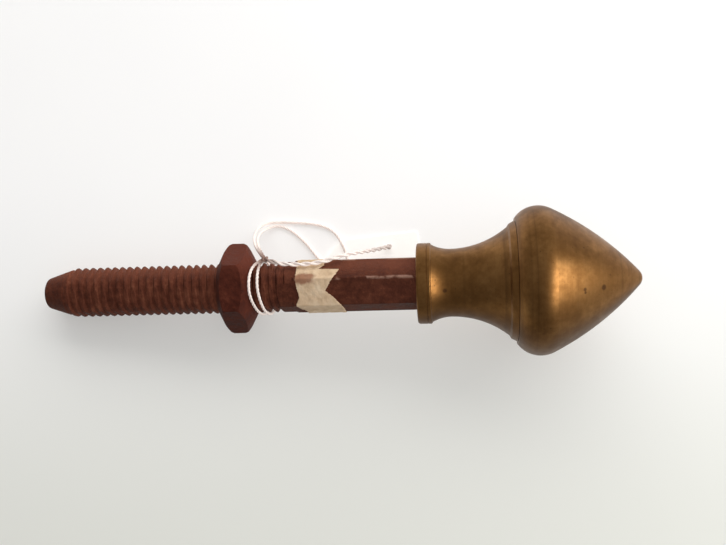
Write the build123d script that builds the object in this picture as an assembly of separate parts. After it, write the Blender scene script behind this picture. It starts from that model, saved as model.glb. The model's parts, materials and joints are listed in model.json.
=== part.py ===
from build123d import *
import os
from math import asin, atan2, cos, degrees, hypot, pi, radians, sin, sqrt, tan

# Plumb bob: a pointed brass weight on a rusty hexagonal iron bar, lying on a flat surface.
# The bar is threaded, a chamfered nut sits on the thread, and a tag hangs from a string tied beside the nut.
# Millimetres. +X runs from the bar's nose to the weight's point, +Z is up, and Z = 0 is the surface.
# The turned and threaded pieces are drawn upright in the bar's own frame, where Z is the distance along
# the axis from a datum just beyond the nose, then laid down on the surface by lay_down().

# ---------------------------------------------------------------- driving dimensions

# Iron bar and its 1/2-13 thread
BAR_ACROSS_FLATS = 11.75
BAR_CORNER_ROUNDING = 0.3
BAR_END = 97.0
BAR_ROLL = -9.2
PITCH = 25.4 / 13
CREST_RADIUS = 6.35
THREAD_DEPTH = 0.82
ROOT_HALF_WIDTH = 0.34
CUTTER_OVERSHOOT = 0.15
THREAD_END = 65.5
THREAD_PHASE = -0.89
FLANK_HALF_ANGLE = 30
TURNED_END = 66.2
NOSE_FACE = 1.2
NOSE_RADIUS = 3.75
NOSE_CONE_END = 9.2
NOSE_ROUNDING = 1.2
TENON_RADIUS = 4.75
TENON_LENGTH = 20.0
SEAT_RADIUS = 6.85
SEAT_DEPTH = 1.0
SOCKET_END_GAP = 0.5

# Hexagon nut
NUT_ACROSS_FLATS = 19.77
NUT_THICKNESS = 8.8
NUT_CENTRE = 51.5
NUT_CORNER_LAND = 3.0
NUT_EDGE_BEVEL = (0.35, 0.65)
NUT_FACE_RADIUS = 6.9
NUT_ROLL = -22.8
NUT_CREST_CLEARANCE = 0.10
NUT_ROOT_CLEARANCE = 0.18
NUT_FLANK_CLEARANCE = 0.08

# Brass neck, with its collar at the bar's end
COLLAR_RADIUS = 10.1
COLLAR_WIDTH = 3.5
COLLAR_FRONT_ROUNDING = 0.6
COLLAR_BACK_ROUNDING = 0.35
COLLAR_GROOVE_PLACE = 2.6
COLLAR_GROOVE_DEPTH = 0.10
COVE_START_RADIUS = 9.7
WAIST_RADIUS = 8.47
WAIST_PLACE = 105.3
FLARE_CURVE = 22.5
FLARE_END = 119.4
NECK_END = 121.3
BEAD_START_RADIUS = 14.2
NECK_END_RADIUS = 15.0
SPIGOT_RADIUS = 6.35
SPIGOT_LENGTH = 12.0

# Brass bulb: a round shoulder, then an ogive to a rounded point
BULB_BACK = 121.4
BULB_BACK_RADIUS = 15.3
SHOULDER_CENTRE = (127.0, 11.55)
SHOULDER_CURVE = 7.0
OGIVE_CURVE = 72.0
OGIVE_START_SLOPE = 26.5
POINT_ROUNDING = 2.6

# Tape, tag and string. The tape's outline is (distance along the axis, side towards +Y).
TAPE_THICKNESS = 0.25
TAPE_LOWEST = -3.0
TAPE_OUTLINE = [
    (67.1, 8.0),
    (67.0, 0.8),
    (67.9, -3.3),
    (67.0, -4.8),
    (68.9, -8.0),
    (78.6, -8.0),
    (78.2, -5.2),
    (74.4, -1.9),
    (77.8, 3.6),
    (74.2, 3.9),
    (74.0, 8.0),
]
TAG_LENGTH = 25.3
TAG_WIDTH = 16.0
TAG_THICKNESS = 0.3
TAG_CLIP = 4.5
TAG_HOLE_RADIUS = 1.5
TAG_HOLE_PLACE = 3.6
TAG_END = (-2.65, 5.11)
TAG_TURN = 6.9
TAG_LIFT = 0.85
STRING_DIAMETER = 0.75
TAIL_DIAMETER = 1.2
HITCH_KNOT = (-17.8, 6.8, 15.2)
HITCH_KNOT_RADIUS = 0.95
END_KNOT = (13.95, 11.85, 1.5)
END_KNOT_RADIUS = 0.8

# ---------------------------------------------------------------- how the bob lies

# It rests on the bulb's shoulder and on the first full thread crest, which sets the tilt of its axis.
CONTACT_RUN = SHOULDER_CENTRE[0] - NOSE_CONE_END
CONTACT_RISE = SHOULDER_CENTRE[1] - CREST_RADIUS
TILT = atan2(CONTACT_RISE, CONTACT_RUN) + asin(SHOULDER_CURVE / hypot(CONTACT_RUN, CONTACT_RISE))
DATUM_HEIGHT = CREST_RADIUS * cos(TILT) - NOSE_CONE_END * sin(TILT)
BULB_POINT = 152.0
BOX_CENTRE_SHIFT = -0.447
DATUM_X = BOX_CENTRE_SHIFT - 0.5 * BULB_POINT * cos(TILT)

AXIS_DIRECTION = Vector(cos(TILT), 0, sin(TILT))
AXIS_UP = Vector(-sin(TILT), 0, cos(TILT))
AXIS_FRAME = Plane(origin=(DATUM_X, 0, DATUM_HEIGHT), x_dir=AXIS_UP, z_dir=AXIS_DIRECTION)


def lay_down(shape):
    """Carry a shape from the bar's upright frame to where it lies on the surface."""
    return AXIS_FRAME.location * shape


def on_bar(along, radius, angle):
    """A point round the bar, with the angle measured from straight up towards +Y."""
    turn = radians(angle)
    start = Vector(DATUM_X, 0, DATUM_HEIGHT) + AXIS_DIRECTION * along
    return start + AXIS_UP * (radius * cos(turn)) + Vector(0, 1, 0) * (radius * sin(turn))


# ---------------------------------------------------------------- threads


def groove_cutter(inner_radius, outer_radius, inner_half_width, outer_half_width, runout=0.0):
    """One turn of a right-hand groove, starting on +X at Z = 0. A runout makes it climb out of the bar."""
    path = Helix(pitch=PITCH, height=PITCH, radius=CREST_RADIUS, cone_angle=runout)
    section_plane = Plane(origin=path @ 0, x_dir=(1, 0, 0), z_dir=(0, -1, 0))
    low, high = inner_radius - CREST_RADIUS, outer_radius - CREST_RADIUS
    outline = Polyline(
        (low, -inner_half_width),
        (low, inner_half_width),
        (high, outer_half_width),
        (high, -outer_half_width),
        close=True,
    )
    section = section_plane * make_face(outline)
    return sweep(section, path=path, is_frenet=True)


def bar_grooves():
    """The bar's thread groove, one cutter a turn, with a runout where the thread stops."""
    slope = tan(radians(FLANK_HALF_ANGLE))
    outer_half_width = ROOT_HALF_WIDTH + (THREAD_DEPTH + CUTTER_OVERSHOOT) * slope
    sizes = (
        CREST_RADIUS - THREAD_DEPTH,
        CREST_RADIUS + CUTTER_OVERSHOOT,
        ROOT_HALF_WIDTH,
        outer_half_width,
    )
    turn = groove_cutter(*sizes)
    count = int((THREAD_END - THREAD_PHASE) / PITCH)
    return [turn.moved(Location((0, 0, THREAD_PHASE + PITCH * i))) for i in range(count)]


def nut_grooves(low_face, high_face):
    """The groove that the bar's thread ridge runs in, with running clearance on crest and flanks."""
    slope = tan(radians(FLANK_HALF_ANGLE))
    inner_radius = CREST_RADIUS - THREAD_DEPTH + NUT_ROOT_CLEARANCE - CUTTER_OVERSHOOT
    outer_radius = CREST_RADIUS + NUT_CREST_CLEARANCE
    ridge_at_root = PITCH / 2 - ROOT_HALF_WIDTH + NUT_FLANK_CLEARANCE / cos(radians(FLANK_HALF_ANGLE))

    def half_width(radius):
        return ridge_at_root - (radius - CREST_RADIUS + THREAD_DEPTH) * slope

    turn = groove_cutter(outer_radius, inner_radius, half_width(outer_radius), half_width(inner_radius))
    ridge_phase = THREAD_PHASE + PITCH / 2
    first = int((low_face - ridge_phase) / PITCH) - 1
    last = int((high_face - ridge_phase) / PITCH) + 1
    return [turn.moved(Location((0, 0, ridge_phase + PITCH * i))) for i in range(first, last + 1)]


# ---------------------------------------------------------------- iron pieces


def revolve_profile(lines):
    """A turned piece from its outline, given as (distance along the axis, radius) in the XZ plane."""
    face = make_face(lines)
    return revolve(Plane.XZ * face, axis=Axis.Z)


def hex_prism(across_flats, low, high, roll):
    outline = Rot(0, 0, roll) * RegularPolygon(across_flats / 2, 6, major_radius=False)
    return Pos(0, 0, low) * extrude(outline, high - low)


def upright_cylinder(radius, low, high):
    return Pos(0, 0, low) * Cylinder(radius, high - low, align=(Align.CENTER, Align.CENTER, Align.MIN))


def iron_bar():
    """Hexagonal bar, turned down to the thread's crest, coned and rounded at the nose, with its tenon."""
    seat = BAR_END + SEAT_DEPTH
    bar = hex_prism(BAR_ACROSS_FLATS, NOSE_FACE, seat, BAR_ROLL)
    bar = fillet(bar.edges().filter_by(Axis.Z), BAR_CORNER_ROUNDING)
    full_radius = BAR_ACROSS_FLATS / sqrt(3) + 1
    step = full_radius - CREST_RADIUS
    envelope = Polyline(
        (0, NOSE_FACE),
        (NOSE_RADIUS, NOSE_FACE),
        (CREST_RADIUS, NOSE_CONE_END),
        (CREST_RADIUS, TURNED_END),
        (full_radius, TURNED_END + step),
        (full_radius, seat),
        (0, seat),
        close=True,
    )
    turned = revolve_profile(envelope)
    nose_edge = turned.edges().filter_by(GeomType.CIRCLE).sort_by(Axis.Z)[0]
    turned = fillet(nose_edge, NOSE_ROUNDING)
    bar = bar & turned
    bar = bar.cut(*[groove.solid() for groove in bar_grooves()])
    return bar + upright_cylinder(TENON_RADIUS, seat, seat + TENON_LENGTH)


def hex_nut():
    """Hexagon nut, chamfered from worn corners almost to the bore on both faces, with its own thread."""
    low, high = NUT_CENTRE - NUT_THICKNESS / 2, NUT_CENTRE + NUT_THICKNESS / 2
    corner_radius = NUT_ACROSS_FLATS / sqrt(3)
    land = NUT_CORNER_LAND / 2
    bevel_depth, bevel_width = NUT_EDGE_BEVEL
    envelope = Polyline(
        (0, low),
        (NUT_FACE_RADIUS, low),
        (corner_radius - bevel_depth, NUT_CENTRE - land - bevel_width),
        (corner_radius, NUT_CENTRE - land),
        (corner_radius, NUT_CENTRE + land),
        (corner_radius - bevel_depth, NUT_CENTRE + land + bevel_width),
        (NUT_FACE_RADIUS, high),
        (0, high),
        close=True,
    )
    nut = hex_prism(NUT_ACROSS_FLATS, low, high, NUT_ROLL) & revolve_profile(envelope)
    bore_radius = CREST_RADIUS - THREAD_DEPTH + NUT_ROOT_CLEARANCE
    nut = nut - upright_cylinder(bore_radius, low - 1, high + 1)
    return nut.cut(*[groove.solid() for groove in nut_grooves(low, high)])


# ---------------------------------------------------------------- brass pieces


def arc_point(centre, radius, angle):
    """A point on an arc in (radius, along) order, with the angle measured from square to the axis."""
    turn = radians(angle)
    return (centre[1] + radius * cos(turn), centre[0] + radius * sin(turn))


def collar_rims(neck):
    """The collar's full-width circles, from its front face backwards."""
    circles = neck.edges().filter_by(GeomType.CIRCLE)
    return circles.filter_by(lambda edge: abs(edge.radius - COLLAR_RADIUS) < 0.01).sort_by(Axis.Z)


def brass_neck():
    """Collar with a rounded lip and a fine groove, a waist, a flare, a small bead and the hidden spigot."""
    collar_end = BAR_END + COLLAR_WIDTH
    groove = BAR_END + COLLAR_GROOVE_PLACE
    flare_end_radius = WAIST_RADIUS + FLARE_CURVE - sqrt(FLARE_CURVE**2 - (FLARE_END - WAIST_PLACE) ** 2)
    waist = (WAIST_RADIUS, WAIST_PLACE)
    cove_start = (COVE_START_RADIUS, collar_end + 0.1)
    flare_end = (flare_end_radius, FLARE_END)
    outline = Curve() + [
        Polyline(
            (0, BAR_END),
            (COLLAR_RADIUS, BAR_END),
            (COLLAR_RADIUS, groove - COLLAR_GROOVE_DEPTH),
            (COLLAR_RADIUS - COLLAR_GROOVE_DEPTH, groove),
            (COLLAR_RADIUS, groove + COLLAR_GROOVE_DEPTH),
            (COLLAR_RADIUS, collar_end),
            cove_start,
        ),
        TangentArc(waist, cove_start, tangent=(0, -1)),
        TangentArc(waist, flare_end, tangent=(0, 1)),
        Polyline(
            flare_end,
            (BEAD_START_RADIUS, FLARE_END + 0.45),
            (NECK_END_RADIUS, NECK_END),
            (SPIGOT_RADIUS, NECK_END),
            (SPIGOT_RADIUS, NECK_END + SPIGOT_LENGTH),
            (0, NECK_END + SPIGOT_LENGTH),
            (0, BAR_END),
        ),
    ]
    neck = revolve_profile(outline)
    neck = fillet(collar_rims(neck)[0], COLLAR_FRONT_ROUNDING)
    neck = fillet(collar_rims(neck)[-1], COLLAR_BACK_ROUNDING)
    seat = BAR_END + SEAT_DEPTH
    counterbore = upright_cylinder(SEAT_RADIUS, BAR_END - 1, seat)
    socket = upright_cylinder(TENON_RADIUS, BAR_END, seat + TENON_LENGTH + SOCKET_END_GAP)
    return neck - counterbore - socket


def brass_bulb():
    """The weight: a shoulder arc, an ogive and a rounded point, tangent to each other, with a blind socket."""
    shoulder_start = degrees(-asin((SHOULDER_CENTRE[0] - BULB_BACK) / SHOULDER_CURVE))
    slope = radians(OGIVE_START_SLOPE)
    inward = OGIVE_CURVE - SHOULDER_CURVE
    ogive_centre = (SHOULDER_CENTRE[0] - inward * sin(slope), SHOULDER_CENTRE[1] - inward * cos(slope))
    point_run = sqrt((OGIVE_CURVE - POINT_ROUNDING) ** 2 - ogive_centre[1] ** 2)
    point_centre = (ogive_centre[0] + point_run, 0)
    point_slope = degrees(atan2(point_run, -ogive_centre[1]))

    def arc(centre, radius, start, end):
        middle = (start + end) / 2
        return ThreePointArc(*[arc_point(centre, radius, a) for a in (start, middle, end)])

    back = arc_point(SHOULDER_CENTRE, SHOULDER_CURVE, shoulder_start)
    tip = (0, point_centre[0] + POINT_ROUNDING)
    outline = Curve() + [
        Polyline(tip, (0, BULB_BACK), (BULB_BACK_RADIUS, BULB_BACK), back),
        arc(SHOULDER_CENTRE, SHOULDER_CURVE, shoulder_start, OGIVE_START_SLOPE),
        arc(ogive_centre, OGIVE_CURVE, OGIVE_START_SLOPE, point_slope),
        arc(point_centre, POINT_ROUNDING, point_slope, 90),
    ]
    bulb = revolve_profile(outline)
    return bulb - upright_cylinder(SPIGOT_RADIUS, BULB_BACK - 1, BULB_BACK + SPIGOT_LENGTH + SOCKET_END_GAP)


# ---------------------------------------------------------------- tape, tag and string


def tape_scrap():
    """A torn scrap of tape pressed over the bar's upper faces, with its outline cut straight down."""
    low, high = TAPE_OUTLINE[0][0] - 2, TAPE_OUTLINE[-1][0] + 2
    outer = hex_prism(BAR_ACROSS_FLATS + 2 * TAPE_THICKNESS, low, high, BAR_ROLL)
    inner = hex_prism(BAR_ACROSS_FLATS, low, high, BAR_ROLL)
    outline = make_face(Polyline(*[(-side, along) for along, side in TAPE_OUTLINE], close=True))
    column = extrude(Plane.YZ.offset(TAPE_LOWEST) * outline, 2 * BAR_ACROSS_FLATS)
    return (outer - inner) & column


def paper_tag():
    """A card tag with clipped corners and a string hole, its holed end lifted on the string beneath it."""
    half = TAG_WIDTH / 2
    outline = Polyline(
        (0, half - TAG_CLIP),
        (TAG_CLIP, half),
        (TAG_LENGTH, half),
        (TAG_LENGTH, -half),
        (TAG_CLIP, -half),
        (0, TAG_CLIP - half),
        close=True,
    )
    card = make_face(outline) - Pos(TAG_HOLE_PLACE, 0) * Circle(TAG_HOLE_RADIUS)
    plate = extrude(card, TAG_THICKNESS)
    droop = degrees(asin(TAG_LIFT / TAG_LENGTH))
    return Pos(TAG_END[0], TAG_END[1], TAG_LIFT) * Rot(0, 0, TAG_TURN) * Rot(0, droop, 0) * plate


# Round the bar beside the nut: angle from straight up towards +Y, distance along the axis, radius.
# The first turn leans on the nut's chamfer over the top. Both turns slant away from the nut underneath.
TURNS_ROUTE = [
    (64, 58.2, 7.5),
    (51, 57.0, 7.35),
    (37, 56.3, 7.55),
    (21, 55.95, 8.05),
    (4, 55.75, 8.35),
    (-18, 55.8, 8.25),
    (-42, 56.3, 7.4),
    (-70, 57.1, 7.1),
    (-100, 57.7, 7.07),
    (-130, 58.3, 7.07),
    (-160, 58.8, 7.07),
    (-190, 59.0, 7.07),
    (-220, 58.9, 7.07),
    (-250, 58.6, 7.07),
    (-280, 58.1, 7.07),
    (-310, 57.7, 7.07),
    (-340, 57.5, 7.07),
    (-370, 57.6, 7.07),
    (-400, 58.2, 7.07),
    (-430, 58.8, 7.07),
    (-460, 59.4, 7.07),
    (-490, 60.0, 7.07),
    (-520, 60.4, 7.07),
    (-550, 60.5, 7.07),
    (-580, 60.3, 7.07),
    (-610, 59.9, 7.07),
    (-646, 59.3, 7.1),
]

LOOP_ROUTE = [
    (-18.05, 7.35, 14.75),
    (-18.9, 8.8, 13.7),
    (-19.7, 10.4, 12.1),
    (-20.3, 12.2, 9.9),
    (-20.35, 14.2, 7.0),
    (-19.8, 15.9, 3.7),
    (-18.7, 17.2, 1.4),
    (-17.2, 17.9, 0.5),
    (-15.5, 18.0, 0.4),
    (-13.7, 17.5, 0.4),
    (-12.0, 16.5, 0.4),
    (-10.4, 15.2, 0.4),
    (-8.8, 13.7, 0.4),
    (-7.5, 12.2, 0.4),
    (-6.3, 10.6, 0.4),
    (-5.0, 9.0, 0.4),
    (-3.3, 7.2, 0.4),
    (-1.05, 5.8, 0.42),
    (0.75, 5.5, 0.9),
    (2.15, 6.0, 1.5),
    (2.85, 7.4, 1.6),
    (2.65, 9.1, 1.55),
    (2.15, 10.8, 1.45),
    (1.45, 12.5, 1.3),
    (0.65, 14.2, 0.8),
    (-0.45, 15.8, 0.4),
    (-2.05, 17.1, 0.4),
    (-4.25, 18.0, 0.4),
    (-6.95, 18.5, 0.4),
    (-9.95, 18.8, 0.4),
    (-13.2, 19.0, 0.4),
    (-16.2, 19.0, 0.4),
    (-18.4, 18.8, 0.7),
    (-19.9, 18.0, 2.1),
    (-20.8, 16.5, 4.5),
    (-21.2, 14.6, 7.7),
    (-21.1, 12.5, 10.7),
    (-20.5, 10.6, 13.1),
    (-19.5, 8.8, 15.0),
    (-18.3, 7.15, 15.8),
]

TAIL_ROUTE = [
    (-17.4, 6.6, 15.6),
    (-15.6, 5.8, 16.5),
    (-13.1, 5.2, 16.95),
    (-10.25, 5.0, 17.2),
    (-7.35, 5.0, 17.5),
    (-4.55, 5.3, 17.6),
    (-1.85, 5.9, 17.6),
    (0.95, 6.9, 17.2),
    (3.65, 7.8, 15.6),
    (6.15, 8.6, 12.9),
    (8.55, 9.4, 9.6),
    (10.65, 10.3, 6.4),
    (12.45, 11.1, 3.8),
    (13.75, 11.7, 2.0),
]


def string_tube(name, route, diameter):
    """A string along straight runs joined by arcs as large as the runs allow. Prints the arcs' radii."""
    points = [Vector(p) for p in route]
    runs = [b - a for a, b in zip(points, points[1:])]
    radii = []
    for before, after in zip(runs, runs[1:]):
        half_turn = radians(before.get_angle(after)) / 2
        radii.append(0.45 * min(before.length, after.length) / tan(half_turn))
    path = FilletPolyline(*points, radius=radii)
    section = Plane(origin=path @ 0, z_dir=path % 0) * Circle(diameter / 2)
    tube = sweep(section, path=path)
    expected = pi * diameter**2 / 4 * path.length
    print(name, "length", round(path.length, 1), "smallest radius", round(min(radii), 2))
    print(name, "volume", round(tube.volume, 3), "expected", round(expected, 3))
    return tube


def knot(centre, radius):
    """A small overhand knot: a pulled-down bead, a little longer than it is wide."""
    bead = scale(Sphere(radius), by=(1.15, 1.0, 0.95))
    return Pos(*centre) * bead


# ---------------------------------------------------------------- build and write

turns_points = [on_bar(along, radius, angle) for angle, along, radius in TURNS_ROUTE]

PIECES = {
    "iron_bar": lay_down(iron_bar()),
    "hex_nut": lay_down(hex_nut()),
    "brass_neck": lay_down(brass_neck()),
    "brass_bulb": lay_down(brass_bulb()),
    "tape_scrap": lay_down(tape_scrap()),
    "paper_tag": paper_tag(),
    "string_turns": string_tube("string_turns", turns_points, STRING_DIAMETER),
    "string_loop": string_tube("string_loop", LOOP_ROUTE, STRING_DIAMETER),
    "string_tail": string_tube("string_tail", TAIL_ROUTE, TAIL_DIAMETER),
    "hitch_knot": knot(HITCH_KNOT, HITCH_KNOT_RADIUS),
    "end_knot": knot(END_KNOT, END_KNOT_RADIUS),
}

os.makedirs("parts", exist_ok=True)
for name, shape in PIECES.items():
    export_step(shape, f"parts/{name}.step")
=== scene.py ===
import json
import math

import bmesh
import bpy
from mathutils import Matrix, Vector, noise


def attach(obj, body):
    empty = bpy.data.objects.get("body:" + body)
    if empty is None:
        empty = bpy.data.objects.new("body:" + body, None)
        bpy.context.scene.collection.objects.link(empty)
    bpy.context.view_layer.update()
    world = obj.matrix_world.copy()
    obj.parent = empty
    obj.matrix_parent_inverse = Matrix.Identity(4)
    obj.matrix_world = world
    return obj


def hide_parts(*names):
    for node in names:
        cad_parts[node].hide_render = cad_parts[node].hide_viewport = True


# The looks of a plumb bob lying on a pale surface: aged brass, rusty threaded iron, cotton string,
# a paper tag and a scrap of masking tape. Metres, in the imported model's frame.

MM = 0.001

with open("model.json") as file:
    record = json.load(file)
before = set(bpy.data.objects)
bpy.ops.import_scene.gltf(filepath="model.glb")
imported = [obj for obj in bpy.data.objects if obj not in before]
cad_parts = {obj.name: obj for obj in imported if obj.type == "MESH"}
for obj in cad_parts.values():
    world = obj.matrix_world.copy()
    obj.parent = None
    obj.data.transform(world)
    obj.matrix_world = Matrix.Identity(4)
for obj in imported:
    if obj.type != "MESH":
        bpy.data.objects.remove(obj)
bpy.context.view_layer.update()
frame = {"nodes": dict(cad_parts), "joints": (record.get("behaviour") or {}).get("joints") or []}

# ---------------------------------------------------------------- dimensions

STRING_DIAMETER = 0.75 * MM
TAIL_DIAMETER = 1.2 * MM
STRING_PLIES = 3
STRING_PLY_RADIUS = 0.245 * STRING_DIAMETER
STRING_LAY = 3.2 * MM
TAIL_PLIES = 2
TAIL_PLY_RADIUS = TAIL_DIAMETER / 4
TAIL_LAY = 5.5 * MM
KNOT_STEPS = 72
KNOT_FLATNESS = 0.42
BAR_APOTHEM = 5.875 * MM
BAR_CORNER_RADIUS = 6.74 * MM
BAR_ROLL = math.radians(9.2)
THREAD_START = 9.2 * MM
THREAD_END = 66.0 * MM
TAPE_THICKNESS = 0.22 * MM
TAPE_GLUE_GAP = 0.01 * MM
TAPE_ANGLES = (-112, 95)
TAPE_ROWS = 150
TAPE_COLUMNS = 60
TABLE_SIZE = 4.0
TABLE_DROP = 0.02 * MM

# The slide joint runs along the bob's axis and the hinge's place is on it. As in the CAD, distances along
# the axis start from a datum just beyond the nose.
JOINTS = {joint["name"]: joint for joint in frame["joints"]}
AXIS = Vector(JOINTS["nut_turn"]["axis"]).normalized()
NUT_CENTRE = Vector(JOINTS["nut_turn"]["pos_m"])
NUT_CENTRE_ALONG = 51.5 * MM
AXIS_UP = AXIS.cross(Vector((0, 1, 0)))
DATUM = NUT_CENTRE - AXIS * NUT_CENTRE_ALONG


def on_bar(along, radius, angle):
    """A point round the bar: distance from the datum, radius, and angle from straight up towards +Y."""
    across = AXIS_UP * math.cos(angle) + Vector((0, math.sin(angle), 0))
    return DATUM + AXIS * along + across * radius


# ---------------------------------------------------------------- string routes, as in the CAD

# Angle from straight up towards +Y in degrees, distance along the axis and radius in millimetres. The turns
# lie a little closer to the thread than in the CAD.
TURNS_ROUTE = [
    (64, 58.2, 7.5),
    (51, 57.0, 7.35),
    (37, 56.3, 7.55),
    (21, 55.95, 8.05),
    (4, 55.75, 8.35),
    (-18, 55.8, 8.25),
    (-42, 56.3, 7.2),
    (-70, 57.1, 7.0),
    (-100, 57.7, 6.98),
    (-130, 58.3, 6.98),
    (-160, 58.8, 6.98),
    (-190, 59.0, 6.98),
    (-220, 58.9, 6.98),
    (-250, 58.6, 6.98),
    (-280, 58.1, 6.98),
    (-310, 57.7, 6.98),
    (-340, 57.5, 6.98),
    (-370, 57.6, 6.98),
    (-400, 58.2, 6.98),
    (-430, 58.8, 6.98),
    (-460, 59.4, 6.98),
    (-490, 60.0, 6.98),
    (-520, 60.4, 6.98),
    (-550, 60.5, 6.98),
    (-580, 60.3, 6.98),
    (-610, 59.9, 6.98),
    (-646, 59.3, 7.0),
]
LOOP_ROUTE = [
    (-18.05, 7.35, 14.75),
    (-18.9, 8.8, 13.7),
    (-19.7, 10.4, 12.1),
    (-20.3, 12.2, 9.9),
    (-20.35, 14.2, 7.0),
    (-19.8, 15.9, 3.7),
    (-18.7, 17.2, 1.4),
    (-17.2, 17.9, 0.5),
    (-15.5, 18.0, 0.4),
    (-13.7, 17.5, 0.4),
    (-12.0, 16.5, 0.4),
    (-10.4, 15.2, 0.4),
    (-8.8, 13.7, 0.4),
    (-7.5, 12.2, 0.4),
    (-6.3, 10.6, 0.4),
    (-5.0, 9.0, 0.4),
    (-3.3, 7.2, 0.4),
    (-1.05, 5.8, 0.42),
    (0.75, 5.5, 0.9),
    (2.15, 6.0, 1.5),
    (2.85, 7.4, 1.6),
    (2.65, 9.1, 1.55),
    (2.15, 10.8, 1.45),
    (1.45, 12.5, 1.3),
    (0.65, 14.2, 0.8),
    (-0.45, 15.8, 0.4),
    (-2.05, 17.1, 0.4),
    (-4.25, 18.0, 0.4),
    (-6.95, 18.5, 0.4),
    (-9.95, 18.8, 0.4),
    (-13.2, 19.0, 0.4),
    (-16.2, 19.0, 0.4),
    (-18.4, 18.8, 0.7),
    (-19.9, 18.0, 2.1),
    (-20.8, 16.5, 4.5),
    (-21.2, 14.6, 7.7),
    (-21.1, 12.5, 10.7),
    (-20.5, 10.6, 13.1),
    (-19.5, 8.8, 15.0),
    (-18.3, 7.15, 15.8),
]
TAIL_ROUTE = [
    (-17.4, 6.6, 15.6),
    (-15.6, 5.8, 16.5),
    (-13.1, 5.2, 16.95),
    (-10.25, 5.0, 17.2),
    (-7.35, 5.0, 17.5),
    (-4.55, 5.3, 17.6),
    (-1.85, 5.9, 17.6),
    (0.95, 6.9, 17.2),
    (3.65, 7.8, 15.6),
    (6.15, 8.6, 12.9),
    (8.55, 9.4, 9.6),
    (10.65, 10.3, 6.4),
    (12.45, 11.1, 3.8),
    (13.75, 11.7, 2.0),
]
HITCH_KNOT = Vector((-17.8, 6.8, 15.2)) * MM
HITCH_KNOT_RADIUS = 0.95 * MM
HITCH_THREAD_RADIUS = 0.36 * MM
END_KNOT = Vector((13.95, 11.85, 1.5)) * MM
END_KNOT_RADIUS = 0.8 * MM
END_THREAD_RADIUS = 0.33 * MM

# ---------------------------------------------------------------- torn tape and spotted brass

# Where the tape's torn ends lie at angles round the bar: (degrees, distance along the axis in mm)
TAPE_LEFT = [
    (-112, 69.2),
    (-86, 68.9),
    (-65, 67.5),
    (-48, 67.0),
    (-34, 67.9),
    (-12, 67.4),
    (7, 67.0),
    (54, 67.1),
    (95, 67.1),
]
TAPE_RIGHT = [
    (-112, 78.7),
    (-80, 78.6),
    (-51, 78.2),
    (-31, 76.0),
    (-18, 74.4),
    (0, 75.6),
    (17, 76.9),
    (36, 77.8),
    (38, 72.4),
    (52, 73.9),
    (95, 74.4),
]

# Corroded spots on the brass: distance along the axis and radius in mm, angle towards +Y, size in mm
BRASS_SPOTS = [
    (141.2, 11.1, -18, 1.2),
    (136.3, 14.2, -17, 0.8),
    (136.5, 14.3, -20, 0.6),
    (103.9, 8.6, -20, 0.9),
]

# ---------------------------------------------------------------- shader helpers


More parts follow.
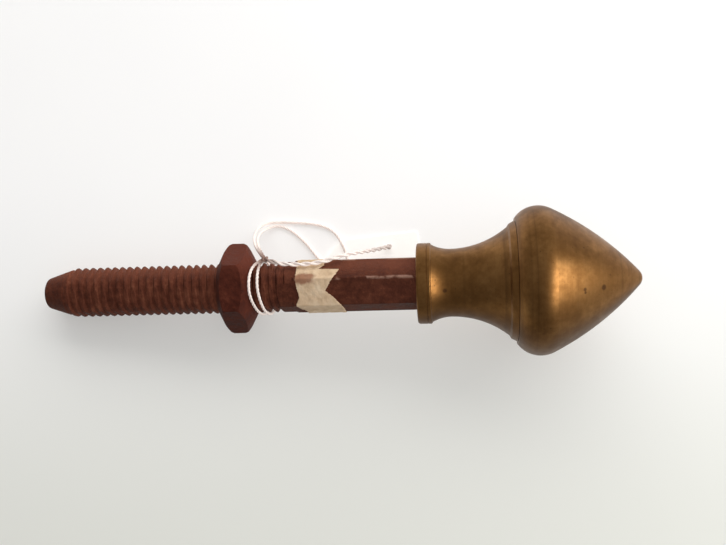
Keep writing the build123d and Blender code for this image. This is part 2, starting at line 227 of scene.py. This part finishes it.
class Shader:
    """A material under construction, with one short call for each kind of node."""

    def __init__(self, name):
        self.material = bpy.data.materials.new(name)
        self.material.use_nodes = True
        self.tree = self.material.node_tree
        self.principled = self.tree.nodes["Principled BSDF"]
        self.place = self.tree.nodes.new("ShaderNodeTexCoord").outputs["Object"]

    def node(self, kind, inputs, **settings):
        made = self.tree.nodes.new(kind)
        for key, value in settings.items():
            setattr(made, key, value)
        for key, value in inputs.items():
            self.feed(made.inputs[key], value)
        return made

    def feed(self, socket, value):
        if isinstance(value, bpy.types.NodeSocket):
            self.tree.links.new(value, socket)
        else:
            socket.default_value = value

    def set(self, socket_name, value):
        self.feed(self.principled.inputs[socket_name], value)

    def noise(self, scale, detail=4.0, roughness=0.55, vector=None, distortion=0.0):
        inputs = {
            "Vector": vector or self.place,
            "Scale": scale,
            "Detail": detail,
            "Roughness": roughness,
            "Distortion": distortion,
        }
        return self.node("ShaderNodeTexNoise", inputs).outputs["Fac"]

    def cells(self, scale):
        return self.node("ShaderNodeTexVoronoi", {"Vector": self.place, "Scale": scale}).outputs["Distance"]

    def maths(self, operation, a, b):
        return self.node("ShaderNodeMath", {0: a, 1: b}, operation=operation).outputs[0]

    def vector_maths(self, operation, a, b, output="Vector"):
        return self.node("ShaderNodeVectorMath", {0: a, 1: b}, operation=operation).outputs[output]

    def span(self, value, low, high, to_low=0.0, to_high=1.0):
        inputs = {
            "Value": value,
            "From Min": low,
            "From Max": high,
            "To Min": to_low,
            "To Max": to_high,
        }
        return self.node("ShaderNodeMapRange", inputs, interpolation_type="SMOOTHSTEP").outputs[0]

    def ramp(self, value, stops):
        made = self.node("ShaderNodeValToRGB", {"Fac": value})
        elements = made.color_ramp.elements
        while len(elements) < len(stops):
            elements.new(0.5)
        for element, (position, colour) in zip(elements, stops):
            element.position = position
            element.color = (*colour, 1.0)
        return made.outputs["Color"]

    def mix(self, factor, a, b, blend="MIX"):
        made = self.node("ShaderNodeMix", {}, data_type="RGBA", blend_type=blend)
        self.feed(made.inputs["Factor"], factor)
        for socket, value in ((made.inputs[6], a), (made.inputs[7], b)):
            self.feed(socket, value if isinstance(value, bpy.types.NodeSocket) else (*value, 1.0))
        return made.outputs[2]

    def bump(self, height, distance, strength=1.0, normal=None):
        inputs = {"Height": height, "Distance": distance, "Strength": strength}
        if normal:
            inputs["Normal"] = normal
        return self.node("ShaderNodeBump", inputs).outputs["Normal"]

    def towards(self, direction):
        """Distance from the frame's origin in a direction, in metres."""
        return self.vector_maths("DOT_PRODUCT", self.place, direction, output="Value")

    def along_axis(self):
        """Distance along the bob's axis from the datum, in metres."""
        offset = self.vector_maths("SUBTRACT", self.place, DATUM)
        return self.vector_maths("DOT_PRODUCT", offset, AXIS, output="Value")

    def from_axis(self):
        """Distance from the bob's axis, in metres."""
        offset = self.vector_maths("SUBTRACT", self.place, DATUM)
        across = self.vector_maths("CROSS_PRODUCT", offset, AXIS)
        return self.vector_maths("LENGTH", across, (0, 0, 0), output="Value")

    def streak(self, point, half_length, half_width):
        """One at a point, falling smoothly to zero at the edge of an oval that is stretched along X."""
        offset = self.vector_maths("SUBTRACT", self.place, point)
        scaled = self.vector_maths("MULTIPLY", offset, (half_width / half_length, 1.0, 1.0))
        distance = self.vector_maths("LENGTH", scaled, (0, 0, 0), output="Value")
        return self.span(distance, 0.0, half_width, 1.0, 0.0)

    def nearness(self, point, reach):
        """One at a point, falling smoothly to zero at the given reach."""
        distance = self.vector_maths("DISTANCE", self.place, point, output="Value")
        return self.span(distance, 0.0, reach, 1.0, 0.0)


# ---------------------------------------------------------------- materials


def rusty_iron(name, brightness, greyness):
    """Brown rust over iron: mottled scale, fine pits, painted shade in the thread's roots, redder rust on the
    far side that also paints the window's light there.
    """
    shader = Shader(name)
    patches = shader.noise(240, detail=5, roughness=0.6)
    scale = shader.noise(900, detail=6, roughness=0.65)
    grains = shader.noise(4200, detail=3)
    broad = shader.maths("MULTIPLY", patches, 0.55)
    mottling = shader.maths("ADD", broad, shader.maths("MULTIPLY", scale, 0.45))

    def rust(red, green, blue):
        return (red * brightness, green * brightness * greyness, blue * brightness * greyness)

    colour = shader.ramp(
        mottling,
        [
            (0.30, rust(0.050, 0.0120, 0.0060)),
            (0.45, rust(0.095, 0.0250, 0.0130)),
            (0.56, rust(0.140, 0.0400, 0.0210)),
            (0.72, rust(0.230, 0.0820, 0.0460)),
        ],
    )
    flakes = shader.span(scale, 0.60, 0.74, 0.0, 0.5)
    colour = shader.mix(flakes, colour, rust(0.19, 0.065, 0.030))
    # Redder rust on the far side, the side towards the window; its brighter tone there is painted light.
    far_side = shader.towards((0, 1, 0))
    colour = shader.mix(shader.span(far_side, 1 * MM, 6 * MM, 0.0, 0.55), colour, rust(0.27, 0.088, 0.050))
    along = shader.along_axis()
    radius = shader.from_axis()
    # Painted shade: in the thread, the roots below the crests are darkened.
    in_thread = shader.span(along, THREAD_START - 1 * MM, THREAD_START + 1 * MM)
    grime_and_root_shade = shader.span(radius, 5.6 * MM, 6.3 * MM, 0.12, 0.26)
    colour = shader.mix(shader.maths("MULTIPLY", in_thread, grime_and_root_shade), colour, rust(0.030, 0.0085, 0.0045))
    # Painted highlight: a light line, partly wear, along the stem's upper corners on the side towards the
    # window.
    on_stem = shader.span(along, THREAD_END, THREAD_END + 2 * MM)
    on_stem = shader.maths("MULTIPLY", on_stem, shader.span(far_side, 0.0, 0.5 * MM))
    at_corner = shader.span(radius, 6.45 * MM, 6.72 * MM)
    wear_and_highlight = shader.maths("MULTIPLY", shader.span(patches, 0.46, 0.60, 0.0, 0.75), at_corner)
    colour = shader.mix(shader.maths("MULTIPLY", on_stem, wear_and_highlight), colour, (0.34, 0.20, 0.15))
    pits = shader.span(shader.cells(1500), 0.05, 0.38)
    coarse = shader.bump(scale, 0.30 * MM, 0.75)
    pitted = shader.bump(pits, 0.06 * MM, 0.6, normal=coarse)
    shader.set("Base Color", colour)
    shader.set("Roughness", shader.span(mottling, 0.35, 0.7, 0.55, 0.80))
    shader.set("Specular IOR Level", 0.10)
    shader.set("Normal", shader.bump(grains, 0.05 * MM, 0.5, normal=pitted))
    return shader.material


def aged_brass(name):
    """Unlacquered brass: patchy brown patina, painted shade on the near side, fine turning rings and small
    spots.
    """
    shader = Shader(name)
    along = shader.along_axis()
    radius = shader.from_axis()
    turned = shader.node("ShaderNodeCombineXYZ", {"X": along, "Y": radius, "Z": 0.0}).outputs[0]
    rings = shader.noise(2600, detail=4, roughness=0.7, vector=turned)
    broad_rings = shader.noise(420, detail=3, vector=turned)
    clouds = shader.noise(95, detail=5, roughness=0.6, distortion=0.4)
    stains = shader.noise(420, detail=5, roughness=0.65)
    cloudy = shader.maths("MULTIPLY", clouds, 0.6)
    patina = shader.maths("ADD", cloudy, shader.maths("MULTIPLY", stains, 0.4))
    colour = shader.ramp(
        patina,
        [
            (0.32, (0.132, 0.058, 0.0170)),
            (0.48, (0.215, 0.100, 0.0302)),
            (0.62, (0.302, 0.150, 0.0495)),
        ],
    )
    colour = shader.mix(shader.span(broad_rings, 0.50, 0.72, 0.0, 0.45), colour, (0.085, 0.038, 0.012))
    colour = shader.mix(shader.span(rings, 0.52, 0.80, 0.0, 0.40), colour, (0.100, 0.045, 0.015))
    specks = shader.span(shader.noise(1500, detail=2), 0.68, 0.76, 0.0, 0.75)
    colour = shader.mix(specks, colour, (0.055, 0.030, 0.015))
    # Painted shade: the near side is darkened, standing for the shadowed floor it reflects.
    near_side_shade = shader.maths("DIVIDE", shader.towards((0, -1, 0)), radius)
    colour = shader.mix(shader.span(near_side_shade, 0.55, 0.95, 0.0, 0.70), colour, (0.060, 0.028, 0.010))
    for along_bob, radius_there, angle, size in BRASS_SPOTS:
        place = on_bar(along_bob * MM, radius_there * MM, math.radians(angle))
        spot = shader.span(shader.nearness(place, size * MM), 0.1, 0.7, 0.0, 0.75)
        colour = shader.mix(spot, colour, (0.060, 0.026, 0.012))
    shader.set("Base Color", colour)
    shader.set("Metallic", 1.0)
    shader.set("Roughness", shader.span(patina, 0.35, 0.68, 0.47, 0.36))
    handling_bumps_and_knot_darkening = shader.bump(stains, 0.05 * MM, 0.35)
    shader.set("Normal", shader.bump(rings, 0.012 * MM, 0.55, normal=handling_bumps_and_knot_darkening))
    return shader.material


def cotton_string(name, stained_at, stain_reach):
    """Undyed cotton: off-white fibres, rust-stained round one place and darker towards the end knot."""
    shader = Shader(name)
    fibres = shader.noise(5200, detail=3)
    grime_and_root_shade = shader.noise(700, detail=3)
    colour = shader.ramp(fibres, [(0.3, (0.80, 0.69, 0.64)), (0.6, (0.93, 0.84, 0.79))])
    colour = shader.mix(shader.span(grime_and_root_shade, 0.55, 0.75, 0.0, 0.25), colour, (0.60, 0.46, 0.38))
    # The string is made darker within 19 mm of the end knot.
    handling_bumps_and_knot_darkening = shader.span(shader.nearness(END_KNOT, 19 * MM), 0.0, 0.8, 0.0, 0.60)
    colour = shader.mix(handling_bumps_and_knot_darkening, colour, (0.33, 0.27, 0.25))
    stain = shader.nearness(stained_at, stain_reach)
    colour = shader.mix(shader.maths("MULTIPLY", stain, 0.92), colour, (0.16, 0.062, 0.032))
    shader.set("Base Color", colour)
    shader.set("Roughness", 0.9)
    shader.set("Specular IOR Level", 0.2)
    shader.set("Sheen Weight", 0.25)
    shader.set("Sheen Roughness", 0.5)
    shader.set("Normal", shader.bump(fibres, 0.04 * MM, 0.4))
    return shader.material


def tag_card(name):
    """Smooth white card with faint fibres and a slight yellowing in patches."""
    shader = Shader(name)
    fibres = shader.noise(2600, detail=4)
    ageing = shader.noise(160, detail=3)
    colour = shader.ramp(ageing, [(0.35, (0.95, 0.93, 0.90)), (0.65, (0.97, 0.955, 0.93))])
    colour = shader.mix(shader.span(fibres, 0.6, 0.8, 0.0, 0.12), colour, (0.74, 0.70, 0.62))
    shader.set("Base Color", colour)
    shader.set("Roughness", 0.75)
    shader.set("Specular IOR Level", 0.3)
    shader.set("Normal", shader.bump(fibres, 0.02 * MM, 0.4))
    return shader.material


def masking_tape(name):
    """Beige crepe tape: fine creases, and a brown smear across the half nearer the nut."""
    shader = Shader(name)
    stretched = shader.vector_maths("MULTIPLY", shader.place, (3.0, 0.8, 0.8))
    creases = shader.noise(900, detail=4, vector=stretched)
    blotches = shader.noise(330, detail=4)
    colour = shader.ramp(
        blotches,
        [
            (0.30, (0.46, 0.32, 0.20)),
            (0.50, (0.59, 0.43, 0.28)),
            (0.70, (0.68, 0.53, 0.37)),
        ],
    )
    surface = BAR_APOTHEM + TAPE_THICKNESS
    smear = shader.streak(on_bar(69.4 * MM, surface, math.radians(11)), 5.0 * MM, 2.4 * MM)
    ragged = shader.maths("ADD", smear, shader.maths("MULTIPLY", shader.noise(900, detail=4), 0.6))
    colour = shader.mix(shader.span(ragged, 0.42, 0.85, 0.0, 0.85), colour, (0.24, 0.100, 0.052))
    shader.set("Base Color", colour)
    shader.set("Roughness", 0.72)
    shader.set("Specular IOR Level", 0.3)
    shader.set("Normal", shader.bump(creases, 0.10 * MM, 0.6))
    return shader.material


def pale_table(name):
    """A plain pale surface, very slightly uneven, with painted shade darkening it towards the near side."""
    shader = Shader(name)
    tone = shader.noise(9, detail=2)
    colour = shader.ramp(tone, [(0.3, (0.90, 0.90, 0.905)), (0.7, (0.93, 0.93, 0.93))])
    far_side = shader.towards((0, 1, 0))
    # Painted shade: the table darkens towards the near side, away from the window.
    near_side_falloff_shade = shader.span(far_side, -75 * MM, 35 * MM, 1.0, 0.0)
    colour = shader.mix(near_side_falloff_shade, colour, (0.735, 0.745, 0.70))
    shader.set("Base Color", colour)
    shader.set("Roughness", 0.7)
    shader.set("Specular IOR Level", 0.25)
    return shader.material


# ---------------------------------------------------------------- mesh helpers


def finish_mesh(name, mesh_builder, material, body):
    """Turn a bmesh into a smooth-shaded piece with its material, riding on a CAD body."""
    data = bpy.data.meshes.new(name)
    mesh_builder.to_mesh(data)
    mesh_builder.free()
    for polygon in data.polygons:
        polygon.use_smooth = True
    data.materials.append(material)
    piece = bpy.data.objects.new(name, data)
    bpy.context.scene.collection.objects.link(piece)
    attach(piece, body)
    return piece


def spline_points(name, route):
    """The smooth line along a route: the points of a NURBS spline that has the route as control points."""
    curve = bpy.data.curves.new(name + "_route", "CURVE")
    curve.dimensions = "3D"
    spline = curve.splines.new("NURBS")
    spline.points.add(len(route) - 1)
    for point, place in zip(spline.points, route):
        point.co = (*place, 1.0)
    spline.order_u = 3
    spline.use_endpoint_u = True
    spline.resolution_u = 12
    holder = bpy.data.objects.new(name + "_route", curve)
    bpy.context.scene.collection.objects.link(holder)
    bpy.context.view_layer.update()
    evaluated = holder.evaluated_get(bpy.context.evaluated_depsgraph_get())
    line = bpy.data.meshes.new_from_object(evaluated)
    points = [vertex.co.copy() for vertex in line.vertices]
    bpy.data.objects.remove(holder)
    bpy.data.curves.remove(curve)
    bpy.data.meshes.remove(line)
    return points


def frames_along(points, closed=False):
    """(point, side, up) at each point, with the sides carried along the line without twisting."""
    frames = []
    side = None
    count = len(points)
    for i, point in enumerate(points):
        after = points[(i + 1) % count] if closed else points[min(i + 1, count - 1)]
        before = points[i - 1] if closed or i else points[0]
        tangent = (after - before).normalized()
        if side is None:
            side = tangent.orthogonal()
        side = (side - tangent * side.dot(tangent)).normalized()
        frames.append((point, side, tangent.cross(side)))
    return frames


def add_tube(builder, points, radius, sides=8, closed=False):
    """A round tube along a line, closed on itself or capped at both ends."""
    rings = []
    for point, side, up in frames_along(points, closed):
        turns = [2 * math.pi * k / sides for k in range(sides)]
        ring = [builder.verts.new(point + (side * math.cos(t) + up * math.sin(t)) * radius) for t in turns]
        rings.append(ring)
    pairs = list(zip(rings, rings[1:]))
    if closed:
        pairs.append((rings[-1], rings[0]))
    else:
        builder.faces.new(list(reversed(rings[0])))
        builder.faces.new(rings[-1])
    for low, high in pairs:
        for k in range(sides):
            following = (k + 1) % sides
            builder.faces.new((low[k], low[following], high[following], high[k]))


def strand_lines(points, count, offset, lay):
    """Lines twisting round a centre line, one for each strand."""
    travelled = [0.0]
    for a, b in zip(points, points[1:]):
        travelled.append(travelled[-1] + (b - a).length)
    frames = frames_along(points)
    lines = []
    for k in range(count):
        line = []
        for (point, side, up), distance in zip(frames, travelled):
            turn = 2 * math.pi * (distance / lay + k / count)
            line.append(point + (side * math.cos(turn) + up * math.sin(turn)) * offset)
        lines.append(line)
    return lines


def twisted_string(name, route, diameter, plies, ply_radius, lay, material):
    """A string of twisted plies along a route. Returns the piece and its centre line."""
    centre = spline_points(name, route)
    builder = bmesh.new()
    for line in strand_lines(centre, plies, diameter / 2 - ply_radius, lay):
        add_tube(builder, line, ply_radius)
    piece = finish_mesh(name, builder, material, "string")
    return piece, centre


def pulled_knot(name, centre, size, thread_radius, turn, material):
    """An overhand knot pulled tight: a closed three-lobed knot of the string's own thread."""
    reach = size - thread_radius
    line = []
    for i in range(KNOT_STEPS):
        t = 2 * math.pi * i / KNOT_STEPS
        across = math.sin(t) + 2 * math.sin(2 * t)
        height = math.cos(t) - 2 * math.cos(2 * t)
        depth = -math.sin(3 * t)
        line.append(Vector((across / 3, height / 3, depth * KNOT_FLATNESS)) * reach)
    placed = [turn @ point + centre for point in line]
    builder = bmesh.new()
    add_tube(builder, placed, thread_radius, sides=10, closed=True)
    return finish_mesh(name, builder, material, "string")


# ---------------------------------------------------------------- pieces


def dress(node, material):
    """Give a piece that keeps its CAD shape its material."""
    data = frame["nodes"][node].data
    data.materials.clear()
    data.materials.append(material)


def dress_iron_and_brass():
    """The metal pieces keep their CAD shapes and take detailed materials."""
    iron = rusty_iron("rusty_iron", 0.82, 1.0)
    nut = rusty_iron("rusty_nut", 0.64, 0.78)
    brass = aged_brass("aged_brass")
    dress("iron_bar", iron)
    dress("hex_nut", nut)
    dress("brass_neck", brass)
    dress("brass_bulb", brass)


def make_string():
    """The tag string: its turns round the bar, its loop through the tag, its twisted tail and two knots."""
    cotton = cotton_string("cotton_string", HITCH_KNOT, 6.0 * MM)
    turns_route = [on_bar(u * MM, r * MM, math.radians(a)) for a, u, r in TURNS_ROUTE]
    loop_route = [Vector(point) * MM for point in LOOP_ROUTE]
    tail_route = [Vector(point) * MM for point in TAIL_ROUTE]

    single = (STRING_DIAMETER, STRING_PLIES, STRING_PLY_RADIUS, STRING_LAY, cotton)
    doubled = (TAIL_DIAMETER, TAIL_PLIES, TAIL_PLY_RADIUS, TAIL_LAY, cotton)
    turns, turns_line = twisted_string("bar_turns", turns_route, *single)
    loop, loop_line = twisted_string("tag_loop", loop_route, *single)
    tail, tail_line = twisted_string("twisted_tail", tail_route, *doubled)

    hitch_turn = Matrix.Rotation(math.radians(55), 3, "X") @ Matrix.Rotation(math.radians(20), 3, "Y")
    hitch = pulled_knot("bar_hitch", HITCH_KNOT, HITCH_KNOT_RADIUS, HITCH_THREAD_RADIUS, hitch_turn, cotton)
    end_turn = Matrix.Rotation(math.radians(15), 3, "Y")
    end = pulled_knot("tail_knot", END_KNOT, END_KNOT_RADIUS, END_THREAD_RADIUS, end_turn, cotton)

    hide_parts("string_turns")
    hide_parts("string_loop")
    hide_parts("string_tail")
    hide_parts("hitch_knot")
    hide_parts("end_knot")


def make_tag():
    """The card keeps its CAD shape: it is thin, flat and clipped at its holed end."""
    dress("paper_tag", tag_card("tag_card"))


def hexagon_radius(angle):
    """Distance from the axis to the bar's surface, in the given direction round it."""
    sector = math.radians(60)
    from_flat = (angle - BAR_ROLL) % sector - sector / 2
    return min(BAR_APOTHEM / math.cos(from_flat), BAR_CORNER_RADIUS)


def wrinkle_at(point):
    """How far the tape stands proud at a point: soft wrinkles with a finer crepe on top."""
    broad = noise.noise(point * 900) * 0.10 * MM
    fine = noise.noise(point * 2600) * 0.04 * MM
    return max(broad + fine, -0.08 * MM)


def tape_layers(builder):
    """Rows of vertices over the tape's outer side and its glued side, a row for each angle round the bar."""
    outer, inner = [], []
    low_angle, high_angle = (math.radians(limit) for limit in TAPE_ANGLES)
    for i in range(TAPE_ROWS + 1):
        angle = low_angle + (high_angle - low_angle) * i / TAPE_ROWS
        start, end = tape_ends(math.degrees(angle))
        base = hexagon_radius(angle)
        outer_row, inner_row = [], []
        for j in range(TAPE_COLUMNS + 1):
            along = start + (end - start) * j / TAPE_COLUMNS
            top = base + TAPE_THICKNESS + wrinkle_at(on_bar(along, base, angle))
            outer_row.append(builder.verts.new(on_bar(along, top, angle)))
            inner_row.append(builder.verts.new(on_bar(along, base + TAPE_GLUE_GAP, angle)))
        outer.append(outer_row)
        inner.append(inner_row)
    return outer, inner


def make_tape():
    """Torn masking tape pressed round the bar's upper side, wrinkled, with ragged torn ends."""
    builder = bmesh.new()
    outer, inner = tape_layers(builder)
    for i in range(TAPE_ROWS):
        for j in range(TAPE_COLUMNS):
            builder.faces.new((outer[i][j], outer[i + 1][j], outer[i + 1][j + 1], outer[i][j + 1]))
            builder.faces.new((inner[i][j], inner[i][j + 1], inner[i + 1][j + 1], inner[i + 1][j]))
    for i in range(TAPE_ROWS):
        for j in (0, TAPE_COLUMNS):
            builder.faces.new((outer[i][j], inner[i][j], inner[i + 1][j], outer[i + 1][j]))
    for i in (0, TAPE_ROWS):
        for j in range(TAPE_COLUMNS):
            builder.faces.new((outer[i][j], outer[i][j + 1], inner[i][j + 1], inner[i][j]))
    bmesh.ops.recalc_face_normals(builder, faces=builder.faces)
    tape = finish_mesh("torn_tape", builder, masking_tape("masking_tape"), "bob")
    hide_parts("tape_scrap")


def between(stops, at):
    """The value at a place in a list of (place, value) stops, straight from stop to stop."""
    for (low, first), (high, second) in zip(stops, stops[1:]):
        if at <= high:
            return first + (second - first) * (at - low) / (high - low)
    return stops[-1][1]


def tape_ends(degrees):
    """The torn tape's start and end along the axis at an angle round the bar."""
    ragged = noise.noise(Vector((degrees * 0.22, 0, 3.0))) * 0.25
    fine = noise.noise(Vector((degrees * 0.9, 5.0, 0))) * 0.12
    start = between(TAPE_LEFT, degrees) + ragged + fine
    end = between(TAPE_RIGHT, degrees) - ragged + fine
    return start * MM, end * MM


# ---------------------------------------------------------------- stage, light and camera


def make_stage():
    """A pale table, far larger than the object."""
    place = (0, 0, -TABLE_DROP)
    bpy.ops.mesh.primitive_grid_add(x_subdivisions=4, y_subdivisions=4, size=TABLE_SIZE, location=place)
    table = bpy.context.object
    table.name = "table"
    table.data.materials.append(pale_table("pale_table"))


def add_area_light(name, place, target, size, power):
    """A rectangular lamp with daylight's colour, facing its target."""
    data = bpy.data.lights.new(name, "AREA")
    data.shape = "RECTANGLE"
    data.size, data.size_y = size
    data.energy = power
    data.color = (1.0, 0.985, 0.96)
    lamp = bpy.data.objects.new(name, data)
    lamp.location = place
    lamp.rotation_mode = "QUATERNION"
    lamp.rotation_quaternion = (Vector(target) - Vector(place)).to_track_quat("-Z", "Y")
    bpy.context.scene.collection.objects.link(lamp)
    return lamp


def light_scene():
    """A large soft window beyond the object, which doesn't show in the metal, and a low one off its point.

    The low window is there for its highlight on the brass, so it casts no shadow.
    """
    window = add_area_light("window", (0.10, 0.40, 0.25), (0, 0, 0), (1.10, 0.40), 2.35)
    window.visible_glossy = False
    low_window = add_area_light("low_window", (0.67, -0.14, 0.64), (0.05, 0, 0.03), (0.70, 0.18), 6.2)
    low_window.data.use_shadow = False


def light_room():
    """A room that darkens evenly from the window's side to the near side."""
    world = bpy.data.worlds.new("room")
    bpy.context.scene.world = world
    world.use_nodes = True
    nodes, links = world.node_tree.nodes, world.node_tree.links
    towards_window = nodes.new("ShaderNodeVectorMath")
    towards_window.operation = "DOT_PRODUCT"
    links.new(nodes.new("ShaderNodeTexCoord").outputs["Generated"], towards_window.inputs[0])
    towards_window.inputs[1].default_value = (0.10, 0.40, -0.05)
    centred = nodes.new("ShaderNodeMath")
    links.new(towards_window.outputs["Value"], centred.inputs[0])
    centred.inputs[1].default_value = 0.5
    tones = nodes.new("ShaderNodeValToRGB")
    links.new(centred.outputs[0], tones.inputs["Fac"])
    near_tone, far_tone = tones.color_ramp.elements
    near_tone.position = 0.12
    near_tone.color = (0.30, 0.30, 0.31, 1.0)
    far_tone.position = 0.88
    far_tone.color = (0.92, 0.92, 0.92, 1.0)
    links.new(tones.outputs["Color"], nodes["Background"].inputs["Color"])
    nodes["Background"].inputs["Strength"].default_value = 0.58


def make_camera():
    """Above the object and a little to the near side, looking almost straight down."""
    elevation = math.radians(82.0)
    yaw = math.radians(0.80)
    target = Vector((6.84, 3.48, 12.0)) * MM
    distance = 241.8 * MM
    level = math.cos(elevation)
    forward = Vector((math.sin(yaw) * level, math.cos(yaw) * level, -math.sin(elevation)))
    data = bpy.data.cameras.new("camera")
    data.sensor_width = 36.0
    data.lens = 47.1
    data.clip_start = 0.01
    camera = bpy.data.objects.new("camera", data)
    camera.location = target - forward * distance
    right = Vector((math.cos(yaw), -math.sin(yaw), 0))
    upward = right.cross(forward)
    camera.rotation_euler = Matrix((right, upward, -forward)).transposed().to_euler()
    bpy.context.scene.collection.objects.link(camera)
    bpy.context.scene.camera = camera


bpy.context.scene.view_settings.view_transform = "Standard"
dress_iron_and_brass()
make_string()
make_tag()
make_tape()
make_stage()
light_scene()
light_room()
make_camera()
